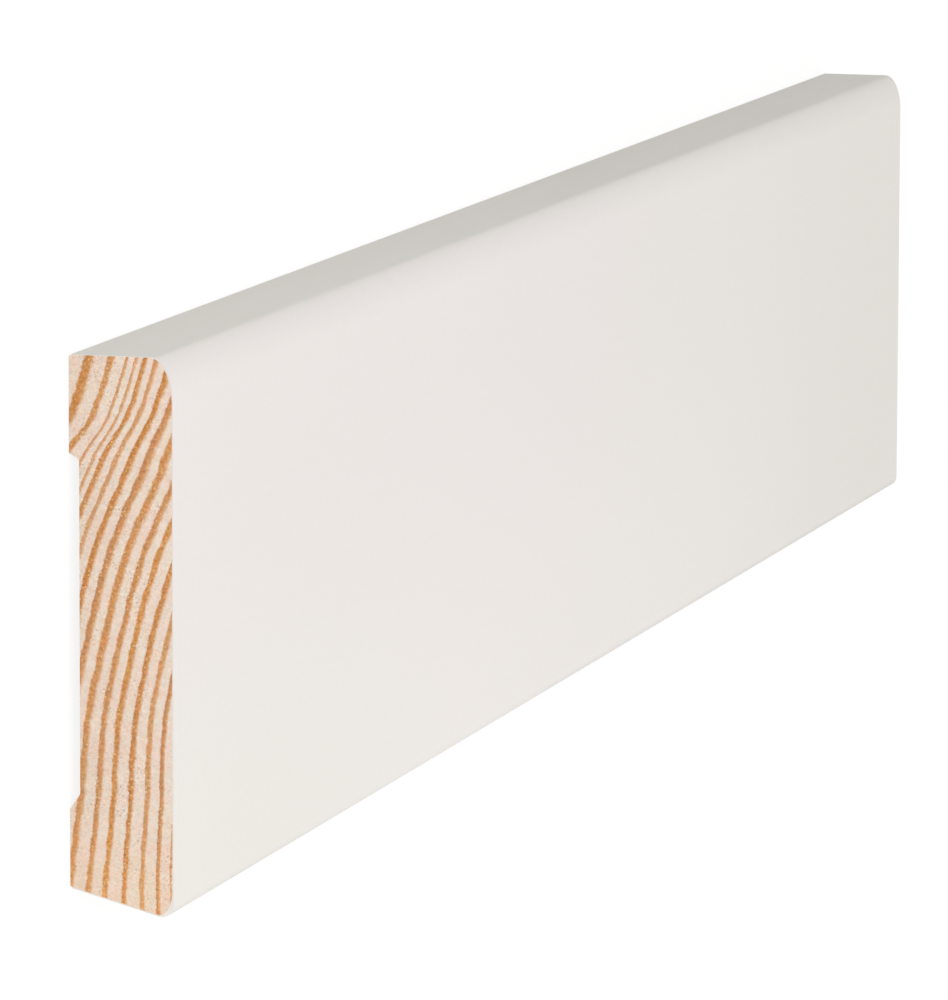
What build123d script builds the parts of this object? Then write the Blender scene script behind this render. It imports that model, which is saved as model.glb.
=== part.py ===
from build123d import *
import math
import os

# A length of plain softwood architrave, lying on its back with its face up.
# X runs along the grain, Y across the face, and Z from the back (0) to the face.
# The origin is at the middle of the length and of the width, on the plane that the back rests on.
# All sizes are in millimetres.

# Overall size
length = 400.0
face_width = 69.0
thickness = 13.3

# Upper edge: square to the back, with a soft oval arris that runs out into the face
oval_across_face = 5.5
oval_down_edge = 2.6

# Lower edge: bevelled towards the back, so that its arris closes up to whatever it meets
lower_edge_lean = 3.5
lower_arris_radius = 1.5

# Back relief: a shallow recess between two lands, so that the board sits flat on an uneven wall
relief_depth = 1.3
lower_land_width = 9.8
upper_land_width = 12.1
lower_shoulder_run = 1.9
upper_shoulder_run = 0.8
shoulder_foot_radius = 0.5
shoulder_head_radius = 0.3

# Arrises at the back, which the cutters leave nearly sharp
back_arris_radius = 0.3


def arris_overhang(lean, radius):
    """How far the sharp corner of a leaning edge stands outside its rounded arris."""
    slope = math.atan(lean / thickness)
    return radius * (math.tan(slope) + 1 / math.cos(slope) - 1)


# Where each corner of the section would be if it were sharp, across the board
upper_edge_y = face_width / 2
lower_face_y = -face_width / 2 - arris_overhang(lower_edge_lean, lower_arris_radius)
lower_back_y = lower_face_y + lower_edge_lean
lower_head_y = lower_back_y + lower_land_width
upper_head_y = upper_edge_y - upper_land_width
lower_foot_y = lower_head_y + lower_shoulder_run
upper_foot_y = upper_head_y - upper_shoulder_run

# The oval arris is a quarter of an ellipse about this point
oval_centre = (upper_edge_y - oval_across_face, thickness - oval_down_edge)
oval_on_face = (oval_centre[0], thickness)
oval_on_edge = (upper_edge_y, oval_centre[1])

# The section's other corners in order, from the face round the back, each as (y, z, radius)
section_corners = [
    (lower_face_y, thickness, lower_arris_radius),
    (lower_back_y, 0, back_arris_radius),
    (lower_head_y, 0, shoulder_head_radius),
    (lower_foot_y, relief_depth, shoulder_foot_radius),
    (upper_foot_y, relief_depth, shoulder_foot_radius),
    (upper_head_y, 0, shoulder_head_radius),
    (upper_edge_y, 0, back_arris_radius),
]


def moulded_section():
    """The outline that the moulder's cutters leave, as one closed face across the grain."""
    corners = [(y, z) for y, z, radius in section_corners]
    radii = [radius for y, z, radius in section_corners]
    with BuildSketch(Plane.YZ) as section:
        with BuildLine():
            FilletPolyline(oval_on_face, *corners, oval_on_edge, radius=radii)
            EllipticalCenterArc(oval_centre, oval_across_face, oval_down_edge, arc_size=90)
        make_face()
    return section.sketch


def architrave():
    """The whole board: its section run both ways from the middle, and sawn square."""
    return extrude(moulded_section(), amount=length / 2, both=True)


os.makedirs("parts", exist_ok=True)
board = architrave()
export_step(board, "parts/architrave.step")

board_box = board.bounding_box()
print("section area", round(moulded_section().area, 1), "mm2")
print("board from", board_box.min, "to", board_box.max)
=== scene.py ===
# %% [markdown]
# # A length of painted pine architrave
# An architrave is the trim that hides the joint between a door or window frame and the wall.
# This one is plain: a pine board with two rounded face edges, painted white, and sawn square.
# It lies on its back. X runs along the grain, Y across the face, and Z up out of the face.
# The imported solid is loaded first. It fixes the size, and all that follows is made inside its box.

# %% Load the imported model
import math

import bmesh
import bpy
from mathutils import Matrix, Vector


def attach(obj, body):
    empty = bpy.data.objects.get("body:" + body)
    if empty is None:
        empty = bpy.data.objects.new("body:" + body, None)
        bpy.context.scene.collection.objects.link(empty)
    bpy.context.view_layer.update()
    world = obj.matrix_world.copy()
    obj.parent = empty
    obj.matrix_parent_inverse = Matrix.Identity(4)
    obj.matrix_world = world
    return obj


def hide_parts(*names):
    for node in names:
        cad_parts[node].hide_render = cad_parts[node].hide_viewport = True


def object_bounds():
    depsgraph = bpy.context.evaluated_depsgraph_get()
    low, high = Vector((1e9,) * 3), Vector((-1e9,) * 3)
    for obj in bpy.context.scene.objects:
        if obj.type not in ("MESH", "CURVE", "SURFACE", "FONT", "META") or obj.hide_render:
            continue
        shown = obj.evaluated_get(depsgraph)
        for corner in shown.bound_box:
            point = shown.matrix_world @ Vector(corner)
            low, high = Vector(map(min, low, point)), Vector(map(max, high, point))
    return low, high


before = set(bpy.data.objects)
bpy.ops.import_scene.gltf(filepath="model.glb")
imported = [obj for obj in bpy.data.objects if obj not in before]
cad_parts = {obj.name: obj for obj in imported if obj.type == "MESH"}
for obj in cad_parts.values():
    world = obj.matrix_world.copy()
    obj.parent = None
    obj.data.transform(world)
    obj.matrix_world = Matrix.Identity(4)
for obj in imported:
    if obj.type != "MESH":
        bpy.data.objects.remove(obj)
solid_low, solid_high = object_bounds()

MM = 0.001
length, width, thickness = [size / MM for size in solid_high - solid_low]
print(f"packed solid: {length:.1f} x {width:.1f} x {thickness:.1f} mm")

# %% [markdown]
# ## The camera
# The board was photographed close to its face, from a little above the sawn near end.
# There the picture's upward direction is the board's +Y, so the camera is turned on its side.
# A long lens far away keeps the board's long edges nearly parallel, as they are in the photograph.
# The place and lens come from fitting the section's outline to the outline in the photograph.

# %% Camera
camera_place = Vector((-1.15928, 0.15955, 0.31886))
camera_target = Vector((0.0, -0.01066, -0.00455))
camera_roll = 0.0034
lens, sensor = 301.15, 36

look = (camera_target - camera_place).normalized()
level_right = look.cross(Vector((0, 1, 0))).normalized()
level_up = level_right.cross(look)
right = level_right * math.cos(camera_roll) + level_up * math.sin(camera_roll)
up = right.cross(look)

bpy.ops.object.select_all(action="DESELECT")
bpy.ops.object.camera_add()
camera = bpy.context.object
camera.name = "photo_camera"
camera.matrix_world = Matrix.Translation(camera_place) @ Matrix((right, up, -look)).transposed().to_4x4()
camera.data.lens = lens
camera.data.sensor_width = sensor
camera.data.clip_end = 50
bpy.context.scene.camera = camera
print(f"camera {camera_place.length:.3f} m from the board's middle, lens {lens} mm")

# %% [markdown]
# ## Working by hand, in code
# Every piece is shaped with the operators that a modeller uses at the screen.
# The two helpers below stand for the mouse: one picks up a piece, the other selects parts of its mesh.
# A part of the mesh is found by its place in millimetres, or by the way that it faces.

# %% Helpers that pick pieces, and faces, edges and corners
def take_up(*pieces):
    """Selects these pieces and nothing else, and makes the first one active."""
    if bpy.context.object and bpy.context.object.mode != "OBJECT":
        bpy.ops.object.mode_set(mode="OBJECT")
    bpy.ops.object.select_all(action="DESELECT")
    for piece in pieces:
        piece.select_set(True)
    bpy.context.view_layer.objects.active = pieces[0]


def select_where(kind, wanted):
    """In edit mode, selects each VERT, EDGE or FACE for which wanted(middle in mm, part) is true."""
    bpy.ops.mesh.select_mode(type=kind)
    bpy.ops.mesh.select_all(action="DESELECT")
    mesh = bmesh.from_edit_mesh(bpy.context.object.data)
    parts = {"VERT": mesh.verts, "EDGE": mesh.edges, "FACE": mesh.faces}[kind]
    count = 0
    for part in parts:
        corners = [part] if kind == "VERT" else part.verts
        middle = sum((corner.co for corner in corners), Vector()) / len(corners) / MM
        if wanted(middle, part):
            part.select_set(True)
            count += 1
    mesh.select_flush_mode()
    bmesh.update_edit_mesh(bpy.context.object.data)
    return count


def near(a, b, gap=0.02):
    """True where two sizes in millimetres agree."""
    return abs(a - b) < gap


def is_sawn_end(face):
    """True for the two faces that cut across the grain."""
    return abs(face.normal.x) > 0.9


# %% [markdown]
# ## The moulded section
# On the real board every edge is cut by the knives of a moulder, in one pass along the grain.
# The section could be drawn as one outline and run along, but then its roundings would be long lists of
# points. The machine's own order works better: a square blank first, then each cut in turn.
# - The lower edge leans back, so that its front corner closes up to whatever it meets.
# - The upper face edge gets an oval rounding, and the lower one a small round nose.
# - The back is relieved between two lands, with one shoulder gentler than the other.
#
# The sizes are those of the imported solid. The wood is the same shape, less the coat of paint.

# %% Sizes of the section, in millimetres
upper_edge = width / 2
oval_across, oval_down = 5.5, 2.6
edge_lean = 3.5
nose_radius = 1.5
relief_depth = 1.3
lower_land, upper_land = 9.8, 12.1
lower_shoulder, upper_shoulder = 1.9, 0.8
foot_radius, head_radius, back_radius = 0.5, 0.3, 0.3

edge_slope = math.atan(edge_lean / thickness)
lower_corner = -width / 2 - nose_radius * (math.tan(edge_slope) + 1 / math.cos(edge_slope) - 1)
lower_back = lower_corner + edge_lean
lower_head = lower_back + lower_land
upper_head = upper_edge - upper_land
lower_foot = lower_head + lower_shoulder
upper_foot = upper_head - upper_shoulder
print(f"lower edge leans {math.degrees(edge_slope):.1f} degrees, sharp corner at y {lower_corner:.3f} mm")


# %% One cut each: a rounding along a long edge, and a line sawn round the board
def round_long_edge(y, z, radius, turn, steps):
    """Rounds the edge along the board at (y, z). turn is how far the surface turns there, in radians."""
    found = select_where("EDGE", lambda m, e: near(m.x, 0) and near(m.y, y) and near(m.z, z))
    # A profile of 0.5 is round on a right angle only, so it is worked out for the corner's own angle
    inside = math.pi - turn
    middle_share = 1 - (1 / math.sin(inside / 2) - 1) * math.tan(inside / 2) / (2 * math.cos(inside / 2))
    bpy.ops.mesh.bevel(offset=radius * math.tan(turn / 2) * MM, segments=steps, profile=middle_share**2)
    return found


def score_round(*places):
    """Cuts the whole board at each of these places across it, without parting it."""
    for y in places:
        bpy.ops.mesh.select_all(action="SELECT")
        bpy.ops.mesh.bisect(plane_co=(0, y * MM, 0), plane_no=(0, 1, 0))


# %% [markdown]
# ## A board through the moulder
# The function makes one solid board. It is called twice: once at the painted size, and once for the bare
# wood, whose painted faces stand in by the thickness of the coat. The back is the same for both.

# %% The board, cut by cut
oval_steps, nose_steps, back_steps = 24, 14, 5
hair = 0.01  # a hair's breadth in mm, added when corners are picked by their place


def mould_board(name, coat, edge_coat, nose, oval):
    """A closed board whose painted faces stand in by coat mm, and its upper edge by edge_coat.

    nose and oval are the roundings, (across, down) in mm.
    """
    face = thickness - coat
    corner = lower_corner + coat * (1 / math.cos(edge_slope) + math.tan(edge_slope))
    back_corner = lower_back + coat / math.cos(edge_slope)
    edge = upper_edge - edge_coat
    middle = Vector((0, (corner + edge) / 2, face / 2)) * MM
    blank_size = Vector((length, edge - corner, face)) * MM
    bpy.ops.object.select_all(action="DESELECT")
    bpy.ops.mesh.primitive_cube_add(size=1, location=middle, scale=blank_size)
    board = bpy.context.object
    board.name = board.data.name = name
    bpy.ops.object.transform_apply(location=True, rotation=True, scale=True)
    bpy.ops.object.mode_set(mode="EDIT")

    select_where("VERT", lambda m, v: near(m.y, corner) and near(m.z, 0))
    bpy.ops.transform.translate(value=(0, (back_corner - corner) * MM, 0))

    across, down = oval
    round_long_edge(edge, face, down, math.pi / 2, oval_steps)
    select_where("VERT", lambda m, v: m.y > edge - down - hair and m.z > face - down - hair)
    bpy.ops.transform.resize(value=(1, across / down, 1), center_override=(0, edge * MM, 0))

    across, down = nose
    nose_turn = math.pi / 2 + edge_slope
    nose_middle = corner + down * math.tan(nose_turn / 2)
    round_long_edge(corner, face, down, nose_turn, nose_steps)
    select_where("VERT", lambda m, v: m.y < nose_middle + hair and m.z > face - down - hair)
    bpy.ops.transform.resize(value=(1, across / down, 1), center_override=(0, (nose_middle - down) * MM, 0))

    score_round(lower_head, lower_foot, upper_foot, upper_head)
    select_where("FACE", lambda m, f: f.normal.z < -0.9 and lower_foot < m.y < upper_foot)
    bpy.ops.transform.translate(value=(0, 0, relief_depth * MM))
    bpy.ops.mesh.select_all(action="SELECT")
    bpy.ops.mesh.dissolve_limited(angle_limit=math.radians(0.3))

    gentle = math.atan(relief_depth / lower_shoulder)
    steep = math.atan(relief_depth / upper_shoulder)
    cuts = [
        (back_corner, 0, back_radius, math.pi / 2 - edge_slope),
        (lower_head, 0, head_radius, gentle),
        (lower_foot, relief_depth, foot_radius, gentle),
        (upper_foot, relief_depth, foot_radius, steep),
        (upper_head, 0, head_radius, steep),
        (edge, 0, back_radius, math.pi / 2),
    ]
    found = [round_long_edge(y, z, radius, turn, back_steps) for y, z, radius, turn in cuts]
    bpy.ops.object.mode_set(mode="OBJECT")
    print(f"{name}: {len(board.data.polygons)} faces, long edges rounded at the back: {found}")
    return board


# %% The bare wood, and the same board at its painted size
coat, edge_coat = 0.15, 0.06
wood_nose, wood_oval = (3.2, 1.65), (5.7, 2.8)
wood = mould_board("pine_board", coat, edge_coat, wood_nose, wood_oval)
painted_size = mould_board("paint_film", 0, 0, (nose_radius, nose_radius), (oval_across, oval_down))


# %% [markdown]
# ## The coat of paint
# The paint is a thin film with a body of its own, and the saw cut shows it as a pale rim round the wood.
# It covers the face and both long edges and stops at the back. It is thin on the upper edge and thicker
# round the nose, where wet paint runs together and gathers, so a shell of even thickness wouldn't do.
# Instead the outside of the painted board and the outside of the wood are taken as two skins, and
# bridged along their rims.

# %% Outer skin from the painted board, inner skin from the wood, bridged
def keep_painted_skin(piece):
    """Deletes the ends and the back, so that the painted faces are left as an open skin."""
    take_up(piece)
    bpy.ops.object.mode_set(mode="EDIT")
    select_where("FACE", lambda m, f: is_sawn_end(f) or f.normal.z < -0.5 or m.z < back_radius)
    bpy.ops.mesh.delete(type="FACE")
    bpy.ops.object.mode_set(mode="OBJECT")


take_up(wood)
bpy.ops.object.duplicate()
inner_skin = bpy.context.object
for skin in (painted_size, inner_skin):
    keep_painted_skin(skin)
bpy.ops.object.mode_set(mode="EDIT")
bpy.ops.mesh.select_all(action="SELECT")
bpy.ops.mesh.flip_normals()
take_up(painted_size, inner_skin)
bpy.ops.object.join()
film = bpy.context.object
bpy.ops.object.mode_set(mode="EDIT")
select_where("EDGE", lambda m, e: e.is_boundary)
bpy.ops.mesh.bridge_edge_loops()
bpy.ops.mesh.select_all(action="SELECT")
bpy.ops.mesh.normals_make_consistent(inside=False)
bpy.ops.object.mode_set(mode="OBJECT")
print(f"film: {len(film.data.polygons)} faces")


# %% [markdown]
# ## A map for the wood
# A pattern made of nodes needs no map. But a viewer that can't read the nodes gets the finish as a
# picture, and a picture needs a flat map of the surface. One even scale over the whole board would leave
# too few pixels for the fine rings of the sawn ends. So the map is laid out like a tailor's pattern: both
# ends large, the back in two halves, and all that the paint covers squeezed into one corner.
# The board is scored across its middle first, so that its back can part there.

# %% Score the wood at mid length, and walk round its section
take_up(wood)
bpy.ops.object.mode_set(mode="EDIT")
bpy.ops.mesh.select_all(action="SELECT")
bpy.ops.mesh.bisect(plane_co=(0, 0, 0), plane_no=(1, 0, 0))
bpy.ops.object.mode_set(mode="OBJECT")


def walk_round(mesh):
    """The section's corners from the lower back edge over the back, and the whole way round, in mm.

    Each corner is ((y, z), way walked to it).
    """
    near_end = min(mesh.faces, key=lambda face: face.calc_center_median().x)
    outline = [(corner.co.y / MM, corner.co.z / MM) for corner in reversed(near_end.verts[:])]
    start = outline.index(min(place for place in outline if place[1] < back_radius + hair))
    outline = outline[start:] + outline[:start]
    steps = [math.dist(a, b) for a, b in zip(outline, outline[1:] + outline[:1])]
    walked = [sum(steps[:index]) for index in range(len(outline))]
    return list(zip(outline, walked)), sum(steps)


# %% Lay out the map: four large pieces, and a corner of scraps
map_pixels, map_gap = 1024, 6
back_scale = 4.9

mesh = bmesh.new()
mesh.from_mesh(wood.data)
mesh.normal_update()
corners, all_round = walk_round(mesh)
back_across = max(walked for (y, z), walked in corners if z < relief_depth + hair)
back_row = back_across * back_scale + map_gap
ends_bottom = map_gap + 2 * back_row
end_row = (map_pixels - ends_bottom) / 2
end_scale = (end_row - map_gap) / (thickness - coat)
scraps_left = 2 * map_gap + width * end_scale
scraps_scale = (map_pixels - map_gap - scraps_left) / length
scraps_tall = (2 * end_row - map_gap) / (all_round - back_across)

layer = mesh.loops.layers.uv.new("OFBake")
for face in mesh.faces:
    middle = face.calc_center_median() / MM
    far_half = middle.x > 0
    for loop in face.loops:
        x, y, z = loop.vert.co / MM
        walked = min(corners, key=lambda corner: math.dist(corner[0], (y, z)))[1]
        if is_sawn_end(face):
            left = map_gap + (y + width / 2) * end_scale
            bottom = ends_bottom + far_half * end_row + z * end_scale
        elif middle.z < relief_depth + hair:
            left = map_gap + (x if far_half else x + length / 2) * back_scale
            bottom = map_gap + far_half * back_row + walked * back_scale
        else:
            left = scraps_left + (x + length / 2) * scraps_scale
            bottom = ends_bottom + ((walked or all_round) - back_across) * scraps_tall
        loop[layer].uv = (left / map_pixels, bottom / map_pixels)
mesh.to_mesh(wood.data)
mesh.free()
print(f"map: {back_scale} pixels a mm on the back, {end_scale:.1f} on the ends")


# %% [markdown]
# ## Smooth roundings and flat faces
# The roundings should shade smoothly, and the broad faces should stay flat right up to them.
# Smoothing by angle alone would bend the light across the whole face, since its corners share the
# roundings' directions. The Weighted Normal modifier lets the largest face decide instead.

# %% Shade both pieces, and measure them
def finish_shading(piece):
    """Smooths the roundings, keeps the flats flat, and reports open edges."""
    take_up(piece)
    bpy.ops.object.shade_smooth_by_angle(angle=math.radians(35))
    weighted = piece.modifiers.new("flat_faces_decide", "WEIGHTED_NORMAL")
    weighted.keep_sharp = True
    bpy.ops.object.modifier_apply(modifier=weighted.name)
    mesh = bmesh.new()
    mesh.from_mesh(piece.data)
    open_edges = sum(not edge.is_manifold for edge in mesh.edges)
    volume = mesh.calc_volume(signed=True) / MM**3
    mesh.free()
    print(f"{piece.name}: {volume / 1000:.2f} cm3, {open_edges} open edges")


for piece in (wood, film):
    finish_shading(piece)


# %% [markdown]
# ## Materials: a few helpers
# A procedural material is a small network of nodes. These helpers add one node at a time, with its
# settings, plain values and wires in one line, so that each network reads from top to bottom.

# %% Node helpers
def put(tree, kind, label, values=None, wires=None, **settings):
    """Adds a node of this kind, with its settings, its plain values and its wires."""
    node = tree.nodes.new("ShaderNode" + kind)
    node.label = label
    for setting, value in settings.items():
        setattr(node, setting, value)
    for socket, value in (values or {}).items():
        node.inputs[socket].default_value = value
    for socket, source in (wires or {}).items():
        tree.links.new(source, node.inputs[socket])
    return node


def sum_up(tree, operation, first, second=None, third=None, label=""):
    """One Math node. Each of its inputs is a number or a wire from another node."""
    node = put(tree, "Math", label, operation=operation)
    for socket, source in zip(node.inputs, (first, second, third)):
        if isinstance(source, (int, float)):
            socket.default_value = source
        elif source is not None:
            tree.links.new(source, socket)
    return node.outputs[0]


def ease(tree, value, start, end, low=0.0, high=1.0, label=""):
    """Goes smoothly from low to high while value goes from start to end."""
    node = put(tree, "MapRange", label, interpolation_type="SMOOTHSTEP")
    tree.links.new(value, node.inputs["Value"])
    for socket, number in zip(("From Min", "From Max", "To Min", "To Max"), (start, end, low, high)):
        node.inputs[socket].default_value = number
    return node.outputs["Result"]


def follow_curve(tree, value, points, label):
    """Reads a drawn curve through these (in, out) points and returns its height."""
    first_in, last_in = points[0][0], points[-1][0]
    low, high = min(y for x, y in points), max(y for x, y in points)
    across_curve = {"From Min": first_in, "From Max": last_in}
    share = put(tree, "MapRange", label + ", in", across_curve, {"Value": value})
    curve = put(tree, "FloatCurve", label, wires={"Value": share.outputs["Result"]})
    line = curve.mapping.curves[0]
    while len(line.points) < len(points):
        line.points.new(0.5, 0.5)
    for drawn, (x, y) in zip(line.points, points):
        drawn.location = ((x - first_in) / (last_in - first_in), (y - low) / (high - low))
        drawn.handle_type = "AUTO_CLAMPED"
    curve.mapping.update()
    up_curve = {"To Min": low, "To Max": high}
    out = put(tree, "MapRange", label + ", out", up_curve, {"Value": curve.outputs["Value"]})
    return out.outputs["Result"]


def mix_colours(tree, share, first, second, blend="MIX", label=""):
    """Mixes two colours. Each is a colour or a wire, and share is a number or a wire."""
    node = put(tree, "Mix", label, data_type="RGBA", blend_type=blend)
    for socket, source in ((node.inputs[0], share), (node.inputs[6], first), (node.inputs[7], second)):
        if isinstance(source, (int, float)):
            socket.default_value = source
        elif isinstance(source, tuple):
            socket.default_value = (*source, 1)
        else:
            tree.links.new(source, socket)
    return node.outputs[2]


def noise(tree, point, stretch, detail=2.0, rough=0.5, label="", **settings):
    """Noise from 0 to 1 whose grains are about stretch = (x, y, z) millimetres in size."""
    scaled = put(tree, "VectorMath", label + ", grain size", wires={0: point}, operation="MULTIPLY")
    scaled.inputs[1].default_value = [1 / size for size in stretch]
    values = {"Scale": 1.0, "Detail": detail, "Roughness": rough}
    return put(tree, "TexNoise", label, values, {"Vector": scaled.outputs[0]}, **settings).outputs["Fac"]


# %% [markdown]
# ## Growth rings
# Pine grows a pale, soft band each spring and a dark, hard one each summer. The dark band starts gently
# on the side of the tree's heart and stops abruptly on the bark side, which here is the board's back.
# On the sawn end the rings run steeply near the upper edge and lie nearly along the board near the lower.
# A wave texture would be the quick way, but its rings are all of one width, which no tree's are. So one
# curve gives their slant, and a list gives the place of each dark band, its width and how dark it is.
# The rings drift slowly along the board, as a tree's do. The group is built once, because the sawn ends,
# the planed back and the paint, through which the grain shows faintly, all have to agree.

# %% The rings as measured on the sawn end, in millimetres
ring_slant = [
    (-36, 1.92), (-30, 2.5), (-25, 3.1), (-20, 3.65), (-15, 4.03), (-10, 4.54), (-5, 5.51), (0, 6.69),
    (5, 7.95), (10, 9.53), (15, 11.52), (20, 13.81), (25, 15.57), (30, 17.42), (36, 19.28),
]
ring_spread = [
    (-36, 1.22), (-28, 1.105), (-20, 1.045), (-10, 0.99), (0, 0.984), (10, 1.019), (20, 1.048), (28, 0.917),
    (36, 0.92),
]
# Each dark band: its place across the rings, its width, and how dark it is
dark_bands = [
    (-31.3, 0.9, 1.0), (-28.9, 0.8, 0.9), (-26.3, 0.7, 0.8), (-23.9, 0.9, 0.9), (-21.3, 1.0, 1.0),
    (-17.49, 1.2, 1.0), (-14.41, 0.8, 0.95), (-12.27, 0.42, 0.82), (-11.01, 0.36, 0.8), (-9.73, 0.7, 0.97),
    (-8.14, 0.6, 0.84), (-6.3, 0.8, 1.0), (-4.28, 0.9, 0.9), (-2.14, 0.95, 0.95), (0.0, 0.8, 0.92),
    (1.86, 0.8, 1.0), (4.01, 0.75, 0.96), (5.99, 0.7, 0.88), (7.8, 0.65, 0.88), (9.3, 0.32, 0.85),
    (11.4, 0.7, 0.8), (13.6, 0.8, 1.0), (15.8, 0.7, 0.9), (18.2, 0.6, 0.9), (20.4, 0.7, 0.9),
]
band_growth = [
    (-36, 0.76), (-26, 0.81), (-12, 0.96), (0, 1.03), (8, 1.02), (15, 1.05), (24, 1.12), (36, 1.1),
]
near_end_x = -length / 2
# How far the rings stray: drift for each mm along the board, and the sizes of wobbles and ragged edges
grain_slope, wobble, raggedness = 0.011, 0.35, 0.26


# %% Growth ring group
def new_group(name, inputs, outputs):
    """An empty node group with these named sockets, and its two end nodes."""
    group = bpy.data.node_groups.new(name, "ShaderNodeTree")
    for label, kind in inputs:
        group.interface.new_socket(label, in_out="INPUT", socket_type="NodeSocket" + kind)
    for label, kind in outputs:
        group.interface.new_socket(label, in_out="OUTPUT", socket_type="NodeSocket" + kind)
    return group, group.nodes.new("NodeGroupInput"), group.nodes.new("NodeGroupOutput")


rings, rings_in, rings_out = new_group(
    "growth_rings",
    [("Point in mm", "Vector")],
    [("Dark band", "Float"), ("Ring tone", "Float"), ("Place in the band", "Float")],
)
point = rings_in.outputs[0]
apart = put(rings, "SeparateXYZ", "along, across, up", wires={0: point})
along, across, height = apart.outputs
from_near_end = sum_up(rings, "SUBTRACT", along, near_end_x, label="distance from the near end")
slant = follow_curve(rings, across, ring_slant, "slant of the rings")
slope = sum_up(rings, "MULTIPLY", from_near_end, grain_slope, label="slope of the grain")
wander = sum_up(rings, "SUBTRACT", noise(rings, point, (170, 60, 60), 1, label="slow wander"), 0.5)
wander = sum_up(rings, "MULTIPLY", wander, ease(rings, from_near_end, 0, 150, 0, 5.0), label="wander")
ripple = sum_up(rings, "SUBTRACT", noise(rings, point, (60, 3, 3), 2, label="small wobble"), 0.5)
ripple = sum_up(rings, "MULTIPLY", ripple, wobble)
kinks = sum_up(rings, "SUBTRACT", noise(rings, point, (40, 1.5, 1.0), 1, label="kinks"), 0.5)
kinks = sum_up(rings, "MULTIPLY", kinks, ease(rings, across, -25, 0, 0.06, 0.16, "stronger above"))
spread = follow_curve(rings, across, ring_spread, "how far apart the rings lie")
age = sum_up(rings, "SUBTRACT", height, slant, label="across the rings")
age = sum_up(rings, "DIVIDE", age, spread)
for part in (slope, wander, ripple, kinks):
    age = sum_up(rings, "ADD", age, part)

spacing = [b[0] - a[0] for a, b in zip(dark_bands, dark_bands[1:])]
spacing = [(a + b) / 2 for a, b in zip(spacing[:1] + spacing, spacing + spacing[-1:])]
count_points = [(place, index) for index, (place, size, depth) in enumerate(dark_bands)]
share_points = [(place, size / gap / 2) for (place, size, depth), gap in zip(dark_bands, spacing)]
depth_points = [(place, depth) for place, size, depth in dark_bands]
ring_count = follow_curve(rings, age, count_points, "ring number")
half_share = follow_curve(rings, age, share_points, "half the dark share of a ring")
growth = follow_curve(rings, across, band_growth, "bands widen towards the upper edge")
half_share = sum_up(rings, "MULTIPLY", half_share, growth)
swell = ease(rings, noise(rings, point, (25, 2.2, 1.2), 1, label="swell"), 0.3, 0.7, 0.84, 1.17)
half_share = sum_up(rings, "MULTIPLY", half_share, swell, label="bands swell and thin out")
depth_of_band = follow_curve(rings, age, depth_points, "how dark a band is")
whole = sum_up(rings, "ROUND", ring_count)
offset = sum_up(rings, "SUBTRACT", ring_count, whole, label="away from the band's middle")
ragged = sum_up(rings, "SUBTRACT", noise(rings, point, (4, 0.4, 0.4), 3, 0.8, "ragged edge"), 0.5)
offset = sum_up(rings, "MULTIPLY_ADD", ragged, raggedness, offset)
offset = sum_up(rings, "DIVIDE", offset, half_share, label="in half widths")
sharp_side = ease(rings, offset, -1.35, -0.75, label="abrupt on the bark side")
soft_side = ease(rings, offset, 0.3, 1.55, 1.0, 0.0, label="gentle on the heart side")
dark = sum_up(rings, "MULTIPLY", sharp_side, soft_side, label="dark band")
dark = sum_up(rings, "MULTIPLY", dark, depth_of_band)
tone = put(rings, "TexWhiteNoise", "a tone for each ring", wires={"W": whole}, noise_dimensions="1D")
for socket, source in zip(rings_out.inputs, (dark, tone.outputs["Value"], offset)):
    rings.links.new(source, socket)
print(f"{len(dark_bands)} dark bands, {min(spacing):.1f} to {max(spacing):.1f} mm apart")


# %% [markdown]
# ## The sawn ends
# End grain is the most lively surface here. Between the orange bands the wood is a pinkish cream, with a
# fine speckle where the saw has cut the tubes of the wood across. Resin canals show as tiny dots, paler
# than the dark bands. Thin rays run across the rings. Towards the lower nose the cream is warmer and the
# bands are paler. The saw leaves the surface matt and faintly scored.
#
# A picture laid on the end would blur close up, and wouldn't meet the stripes of the back. So the ring
# group gives the bands, and each layer after that adds one thing, from the large to the small.

# %% Starting a material
def new_material(name):
    """A material with its shader, and the place in millimetres on the piece's own coordinates."""
    material = bpy.data.materials.new(name)
    material.use_nodes = True
    tree = material.node_tree
    shader = tree.nodes["Principled BSDF"]
    place = put(tree, "TexCoord", "the piece's own place")
    point = put(tree, "VectorMath", "in millimetres", wires={0: place.outputs["Object"]}, operation="SCALE")
    point.inputs["Scale"].default_value = 1 / MM
    return material, tree, shader, point.outputs[0]


def place_rings(tree, point):
    """Puts the growth ring group in a material and returns its three outputs."""
    node = tree.nodes.new("ShaderNodeGroup")
    node.node_tree = rings
    tree.links.new(point, node.inputs[0])
    return node.outputs


# %% Sawn end material
def tint(tree, share, colour, less, more, label):
    """Multiplies a colour by something between less and more, where share goes from 0.3 to 0.7."""
    factor = mix_colours(tree, ease(tree, share, 0.3, 0.7), less, more, label=label + ", factor")
    return mix_colours(tree, 1.0, colour, factor, "MULTIPLY", label)


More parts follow.
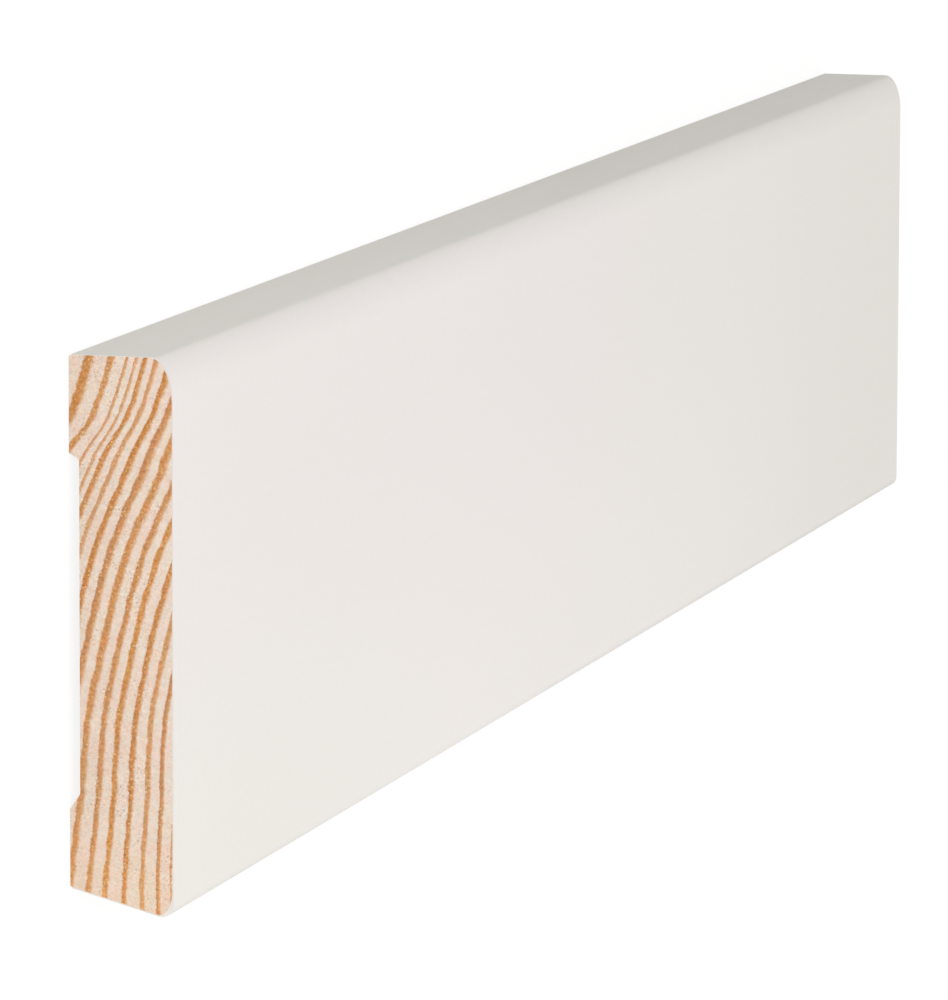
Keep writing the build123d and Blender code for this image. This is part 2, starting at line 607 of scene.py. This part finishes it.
sawn, tree, shader, point = new_material("bare_pine_sawn")
dark, tone, in_band = place_rings(tree, point)
apart = put(tree, "SeparateXYZ", "along, across, up", wires={0: point})
across, height = apart.outputs["Y"], apart.outputs["Z"]
at_nose = ease(tree, across, -32, -22, 1.0, 0.0, "towards the nose")
patches = ease(tree, noise(tree, point, (9, 4, 4), 2, label="patches"), 0.3, 0.7, label="pink or cream")
cream = mix_colours(tree, patches, (0.93, 0.74, 0.64), (0.92, 0.78, 0.66), label="spring wood")
cream = mix_colours(tree, at_nose, cream, (1.02, 0.97, 0.92), "MULTIPLY", "warmer at the nose")
across_band = ease(tree, in_band, -1.0, 1.1, label="from the bark side to the heart side")
orange = mix_colours(tree, across_band, (0.57, 0.20, 0.048), (0.76, 0.36, 0.12), label="across a band")
orange = mix_colours(tree, tone, orange, (0.72, 0.335, 0.115), label="ring by ring")
orange = mix_colours(tree, at_nose, orange, (1.16, 1.19, 1.20), "MULTIPLY", "paler at the nose")
lumps = noise(tree, point, (0.8, 0.45, 0.45), 2, 0.6, "lumps along a band")
orange = tint(tree, lumps, orange, (0.80, 0.73, 0.60), (1.13, 1.17, 1.27), "lumpy band")
rust = noise(tree, point, (3, 1.2, 1.2), 1, label="rusty and olive stretches")
orange = tint(tree, rust, orange, (1.035, 0.975, 0.93), (0.97, 1.025, 0.99), "rusty or olive")
wood_colour = mix_colours(tree, dark, cream, orange, label="rings")

# %% Speckle, mottling and rays on the sawn end
lively = noise(tree, point, (6, 4, 3), 3, 0.65, "where the saw has torn the wood")
lively = ease(tree, lively, 0.4, 0.66, 0.4, 1.35, "calm or lively")
speckle = noise(tree, point, (0.3, 0.2, 0.2), 3, 0.75, "cut tubes")
torn = sum_up(tree, "MULTIPLY_ADD", sum_up(tree, "SUBTRACT", speckle, 0.5), lively, 0.5, "torn tubes")
# Noise in 4D is another pattern than noise in 3D, so these two don't follow the speckle
hue = noise(tree, point, (0.3, 0.25, 0.25), 1, 0.5, "pink and green grains", noise_dimensions="4D")
blush = noise(tree, point, (1.6, 1.5, 1.5), 1, 0.5, "blush", noise_dimensions="4D")
mottle = noise(tree, point, (0.9, 0.65, 0.65), 2, 0.5, "mottling")
wood_colour = tint(tree, torn, wood_colour, (0.86, 0.84, 0.815), (1.09, 1.105, 1.12), "speckle")
wood_colour = tint(tree, hue, wood_colour, (1.02, 0.982, 0.978), (0.98, 1.018, 1.012), "grain colour")
wood_colour = tint(tree, blush, wood_colour, (1.01, 0.98, 0.955), (0.99, 1.015, 1.035), "blushes")
wood_colour = tint(tree, mottle, wood_colour, (0.965, 0.955, 0.945), (1.03, 1.04, 1.045), "mottling")

across_rays = sum_up(tree, "MULTIPLY_ADD", height, 0.3, across, "place across the rays")
ray_point = put(tree, "CombineXYZ", "across and along a ray", wires={"X": across_rays, "Y": height})
rays = noise(tree, ray_point.outputs[0], (0.3, 5, 1), 2, 0.6, "rays")
wood_colour = tint(tree, rays, wood_colour, (0.98, 0.975, 0.97), (1.015, 1.02, 1.025), "faint rays")

worn = noise(tree, point, (7, 7, 7), 3, 0.6, "worn patches")
near_back = ease(tree, height, 2, 9, 1.0, 0.0, "towards the back")
worn = sum_up(tree, "MULTIPLY", ease(tree, worn, 0.42, 0.6), near_back)
brown = sum_up(tree, "MULTIPLY", worn, ease(tree, speckle, 0.35, 0.65, 1.0, 0.2), label="brown grains")
brown = sum_up(tree, "MULTIPLY", brown, 0.22, label="only a hint of brown")
wood_colour = mix_colours(tree, brown, wood_colour, (0.62, 0.40, 0.26), label="browner near the back")

# %% Pores and resin on the sawn end
flat_point = put(tree, "CombineXYZ", "on the end's plane", wires={"X": across, "Y": height})
on_end = {"Vector": flat_point.outputs[0]}
dots = {"voronoi_dimensions": "2D"}
pores = put(tree, "TexVoronoi", "pores", {"Scale": 1 / 0.6}, on_end, **dots)
pore = ease(tree, pores.outputs["Distance"], 0.13, 0.30, 1.0, 0.0, "a pore's dot")
kept = put(tree, "SeparateColor", "which pores are open", wires={0: pores.outputs["Color"]})
pore = sum_up(tree, "MULTIPLY", pore, ease(tree, kept.outputs[0], 0.1, 0.5, 1.0, 0.0))
pore = sum_up(tree, "MULTIPLY", pore, ease(tree, lively, 0.7, 1.3), label="crowded where the saw has torn")
wood_colour = mix_colours(tree, pore, wood_colour, (0.79, 0.72, 0.70), "MULTIPLY", "pores")
canals = put(tree, "TexVoronoi", "resin canals", {"Scale": 1 / 0.5}, on_end, **dots)
canal = ease(tree, canals.outputs["Distance"], 0.10, 0.28, 1.0, 0.0, "a canal's dot")
kept = put(tree, "SeparateColor", "how clear a canal is", wires={0: canals.outputs["Color"]})
canal = sum_up(tree, "MULTIPLY", canal, ease(tree, kept.outputs[0], 0.4, 1.0))
canal = sum_up(tree, "MULTIPLY", canal, ease(tree, dark, 0.1, 0.5), label="canals lie in the dark bands")
canal = sum_up(tree, "MULTIPLY", canal, ease(tree, lively, 0.4, 1.1, 0.45, 0.95), label="clearer in places")
wood_colour = mix_colours(tree, canal, wood_colour, (0.97, 0.67, 0.35), label="resin canals")
tree.links.new(wood_colour, shader.inputs["Base Color"])
shader.inputs["Roughness"].default_value = 0.85
shader.inputs["Specular IOR Level"].default_value = 0.25
fuzz = put(tree, "Bump", "saw-cut surface", {"Strength": 0.25, "Distance": 0.00004}, {"Height": speckle})
tree.links.new(fuzz.outputs["Normal"], shader.inputs["Normal"])
print("sawn end:", len(tree.nodes), "nodes")


# %% [markdown]
# ## The planed back
# Along the grain the same rings show as long stripes, warmer and calmer than on the end, with fine fibres
# between them. The planer leaves shallow ripples across the board. A little paint has crept round both
# back edges, and only there does the white show on this side.
# The stripes needn't be drawn: the ring group, read on the back, gives them, and they run on from the
# bands of the ends. Noise drawn out along the grain gives the fibres, and a second, shorter one gives the
# thin brown streaks of resin canals that the planer has cut along.

# %% Planed back material
planed, tree, shader, point = new_material("bare_pine_planed")
rings_here = place_rings(tree, point)
dark, tone = rings_here["Dark band"], rings_here["Ring tone"]
fibres = ease(tree, noise(tree, point, (35, 0.22, 0.22), 4, 0.7, "fibres"), 0.3, 0.7)
spring = mix_colours(tree, fibres, (0.82, 0.61, 0.41), (0.91, 0.72, 0.52), label="spring wood")
summer = mix_colours(tree, tone, (0.67, 0.35, 0.135), (0.75, 0.44, 0.20), label="summer wood")
wood_colour = mix_colours(tree, sum_up(tree, "MULTIPLY", dark, 0.85), spring, summer, label="stripes")
streak = ease(tree, noise(tree, point, (9, 0.18, 0.18), 1, label="streaks"), 0.66, 0.75, 0.0, 0.55)
wood_colour = mix_colours(tree, streak, wood_colour, (0.42, 0.22, 0.08), label="resin canals, cut along")
apart = put(tree, "SeparateXYZ", "along, across, up", wires={0: point})
across = apart.outputs["Y"]
from_lower_edge = sum_up(tree, "SUBTRACT", across, lower_back)
from_upper_edge = sum_up(tree, "SUBTRACT", upper_edge, across)
edge_distance = sum_up(tree, "MINIMUM", from_lower_edge, from_upper_edge, label="to the nearer edge")
creep_edge = noise(tree, point, (5, 2, 2), 4, 0.6, "creep")
creep = sum_up(tree, "MULTIPLY_ADD", creep_edge, 3.0, edge_distance)
creep = ease(tree, creep, 1.7, 2.1, 1.0, 0.0, "paint crept round")
paint_white = (0.80, 0.775, 0.745)
wood_colour = mix_colours(tree, creep, wood_colour, paint_white, label="paint on the arris")
tree.links.new(wood_colour, shader.inputs["Base Color"])
shader.inputs["Roughness"].default_value = 0.62
ripples = put(tree, "TexWave", "planer ripples", {"Scale": 1 / 6.0, "Distortion": 0.4}, {"Vector": point})
relief = sum_up(tree, "MULTIPLY_ADD", fibres, 0.6, sum_up(tree, "MULTIPLY", ripples.outputs["Fac"], 0.5))
relief = sum_up(tree, "MULTIPLY_ADD", dark, 0.3, relief)
planing = put(tree, "Bump", "planed surface", {"Strength": 0.35, "Distance": 0.00006}, {"Height": relief})
tree.links.new(planing.outputs["Normal"], shader.inputs["Normal"])
print("planed back:", len(tree.nodes), "nodes")


# %% [markdown]
# ## White satin paint
# Sprayed or brushed paint is never quite flat. It has a fine orange peel, the grain lifts it faintly along
# the board, and a few specks of dust are caught in it. Its white is a warm one and drifts a little from
# pinkish to creamier across the face. Painted light and shade are laid into the white too: it is painted
# a little lighter towards the lower edge and in the middle of the length, and painted greyer towards the
# far end and from where the oval rounding starts. On the lower nose it is painted lighter on the near half
# and darker on the far one. The long edges have a creamier white of their own, duller through painted
# shade that deepens towards the far end. One soft mask for each of these, made from the place on the
# board, is easier to adjust than a painted map would be.
# The gloss is low, and a little uneven.

# %% Paint material
paint, tree, shader, point = new_material("white_paint")
dark = place_rings(tree, point)["Dark band"]
apart = put(tree, "SeparateXYZ", "along, across, up", wires={0: point})
along, across, height = apart.outputs
far_share = ease(tree, along, near_end_x, -near_end_x, label="towards the far end")
lower_share = ease(tree, across, -35, 25, 1.0, 0.0, "towards the lower edge")
middle_share = ease(tree, sum_up(tree, "ABSOLUTE", along), 50, 180, 1.0, 0.0, "mid length")
edge_share = ease(tree, height, 10.5, 12.5, 1.0, 0.0, "on the long edges")
drift = noise(tree, point, (60, 25, 25), 1, label="drift of the white")
# Creamier and a little lighter towards the lower edge. The creamier hue is a drift of the paint's white;
# the extra lightness is painted light.
creamy_and_lighter = sum_up(tree, "MULTIPLY", lower_share, ease(tree, drift, 0.2, 0.8, 0.8, 1.0), label="creamy share")
white = mix_colours(tree, creamy_and_lighter, (0.868, 0.807, 0.791), (0.874, 0.838, 0.788), label="creamier below")
# Painted shade: the face's white turns greyer towards the far end.
white = mix_colours(tree, far_share, white, (0.851, 0.814, 0.770), label="greyer at the far end")
# Painted light: the face is a little lighter in the middle of the length, most of all towards the lower
# edge.
pale = sum_up(tree, "MULTIPLY", middle_share, sum_up(tree, "MULTIPLY_ADD", lower_share, 0.6, 0.4))
white = mix_colours(tree, pale, white, (1.053, 1.038, 1.058), "MULTIPLY", "paler in the middle")
# Painted shade: the white is a shade greyer from where the oval rounding starts, towards the upper edge.
painted_shade_on_oval = ease(tree, across, 29.0, 33.6, label="where the coat draws thin")
white = mix_colours(tree, painted_shade_on_oval, white, (0.95, 0.95, 0.95), "MULTIPLY", "greyer at the oval")
# Painted light on the lower nose: its white is painted lighter on the near half, and darker on the far half
# as painted shade.
painted_light_on_nose = ease(tree, across, -34.0, -33.0, 1.0, 0.0, "on the lower nose")
far_half = ease(tree, along, -90, 40, label="towards the far half")
nose_painted_light, nose_painted_shade = (1.075, 1.075, 1.075), (0.96, 0.96, 0.96)
nose_light_and_shade = mix_colours(tree, far_half, nose_painted_light, nose_painted_shade, label="cover along the nose")
white = mix_colours(tree, painted_light_on_nose, white, nose_light_and_shade, "MULTIPLY", "paint gathered on the nose")
# The long edges get a creamier white of their own, with painted shade that makes it darker towards the far
# end.
edge_white_and_shade = mix_colours(tree, far_share, (0.865, 0.830, 0.779), (0.774, 0.738, 0.688), label="long edges")
white = mix_colours(tree, edge_share, white, edge_white_and_shade, label="the long edges' own white")
fine = noise(tree, point, (1.2, 0.9, 0.9), 2, label="orange peel")
lift = noise(tree, point, (25, 0.6, 0.6), 3, 0.6, "grain lifting the paint")
shade = mix_colours(tree, ease(tree, fine, 0.3, 0.7), (0.99, 0.99, 0.99), (1.0, 1.0, 1.0))
tree.links.new(mix_colours(tree, 1.0, white, shade, "MULTIPLY"), shader.inputs["Base Color"])
tree.links.new(ease(tree, lift, 0.2, 0.8, 0.42, 0.50, "uneven gloss"), shader.inputs["Roughness"])
shader.inputs["Specular IOR Level"].default_value = 0.32
specks = put(tree, "TexVoronoi", "dust in the paint", {"Scale": 1 / 14.0}, {"Vector": point})
speck = ease(tree, specks.outputs["Distance"], 0.008, 0.02, 1.0, 0.0)
relief = sum_up(tree, "MULTIPLY_ADD", lift, 0.5, fine)
relief = sum_up(tree, "MULTIPLY_ADD", dark, 0.35, relief)
relief = sum_up(tree, "MULTIPLY_ADD", speck, 2.0, relief)
skin = put(tree, "Bump", "paint surface", {"Strength": 0.3, "Distance": 0.00002}, {"Height": relief})
tree.links.new(skin.outputs["Normal"], shader.inputs["Normal"])
print("paint:", len(tree.nodes), "nodes")

# %% [markdown]
# ## Which face gets which finish
# The wood has two finishes. All of it is planed, apart from the two ends, which are sawn. They could be
# picked one by one, but the way that they face tells them from all the others. The film is paint all over.

# %% Each piece gets its finish
wood.data.materials.clear()
wood.data.materials.append(planed)
wood.data.materials.append(sawn)
take_up(wood)
bpy.ops.object.mode_set(mode="EDIT")
ends = select_where("FACE", lambda m, f: is_sawn_end(f))
wood.active_material_index = 1
bpy.ops.object.material_slot_assign()
bpy.ops.object.mode_set(mode="OBJECT")
film.data.materials.clear()
film.data.materials.append(paint)
print("sawn faces:", ends)

# %% [markdown]
# ## Floor, world and light
# The photograph is a plain white studio picture. A backdrop could be lit until it turns white, but that
# light would fall on the board as well. So the floor is pale and matt, and only where it is seen is it
# lifted to white, which leaves nothing on it but the board's soft shadow. The world gives even light from
# all sides. One large soft lamp stands off the near end, above the face and only a little towards the
# upper edge, so that the face and the sawn end are the bright sides, and the upper edge turns grey.

# %% The light path mask that lifts a background to white
def seen_directly(tree):
    """1 for rays that show the background: from the camera, in a reflection, or through glass."""
    path = put(tree, "LightPath", "what kind of ray")
    seen = sum_up(tree, "MAXIMUM", path.outputs["Is Camera Ray"], path.outputs["Is Glossy Ray"])
    return sum_up(tree, "MAXIMUM", seen, path.outputs["Is Transmission Ray"])


# %% Floor, a tenth of a millimetre under the board
floor_size, floor_height = 14, -0.1 * MM
bpy.ops.object.select_all(action="DESELECT")
bpy.ops.mesh.primitive_plane_add(size=floor_size, location=(0, 0, floor_height))
floor = bpy.context.object
floor.name = "studio_floor"
floor_finish = bpy.data.materials.new("studio_floor")
floor_finish.use_nodes = True
tree = floor_finish.node_tree
shader = tree.nodes["Principled BSDF"]
seen = seen_directly(tree)
bounced_grey, seen_grey = (0.42, 0.42, 0.40), (0.16, 0.16, 0.16)
floor_colour = mix_colours(tree, seen, bounced_grey, seen_grey, label="less shadow where it is seen")
tree.links.new(floor_colour, shader.inputs["Base Color"])
shader.inputs["Roughness"].default_value = 1.0
shader.inputs["Specular IOR Level"].default_value = 0.0
shader.inputs["Emission Color"].default_value = (1, 1, 1, 1)
tree.links.new(sum_up(tree, "MULTIPLY", seen, 0.88), shader.inputs["Emission Strength"])
floor.data.materials.append(floor_finish)

# %% World and lamp
world = bpy.data.worlds.new("studio_air")
bpy.context.scene.world = world
world.use_nodes = True
tree = world.node_tree
tree.nodes.clear()
even_light = put(tree, "Background", "even light", {"Color": (0.99, 1.0, 0.99, 1), "Strength": 0.78})
white_wall = put(tree, "Background", "white wall", {"Color": (1, 1, 1, 1), "Strength": 1.0})
wires = {0: seen_directly(tree), 1: even_light.outputs[0], 2: white_wall.outputs[0]}
choice = put(tree, "MixShader", "light, or what is seen", wires=wires)
put(tree, "OutputWorld", "world", wires={"Surface": choice.outputs[0]})

lamp_place, lamp_target = Vector((-0.95, 0.15, 0.5)), Vector((-0.2, 0, 0))
bpy.ops.object.light_add(type="AREA", location=lamp_place)
lamp = bpy.context.object
lamp.name = "soft_lamp"
lamp.rotation_euler = (lamp_target - lamp_place).to_track_quat("-Z", "Y").to_euler()
lamp.data.shape = "SQUARE"
lamp.data.size = 0.5
lamp.data.energy = 3.42
lamp.data.color = (1.0, 0.985, 0.98)
bpy.context.scene.view_settings.view_transform = "Standard"
print(f"lamp {lamp_place.length:.2f} m away, {lamp.data.energy:.2f} W")

# %% [markdown]
# ## Handing over
# Both pieces ride on the imported body and stand for its one node. The box before and after is written
# The box of the imported solid is printed.

# %% Ride, replace, measure and finish
for piece, finish in ((wood, "bare_pine"), (film, "white_paint")):
    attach(piece, "root")
    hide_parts("architrave")
print("box of the solid, mm:", [round(v / MM, 3) for v in (*solid_low, *solid_high)])
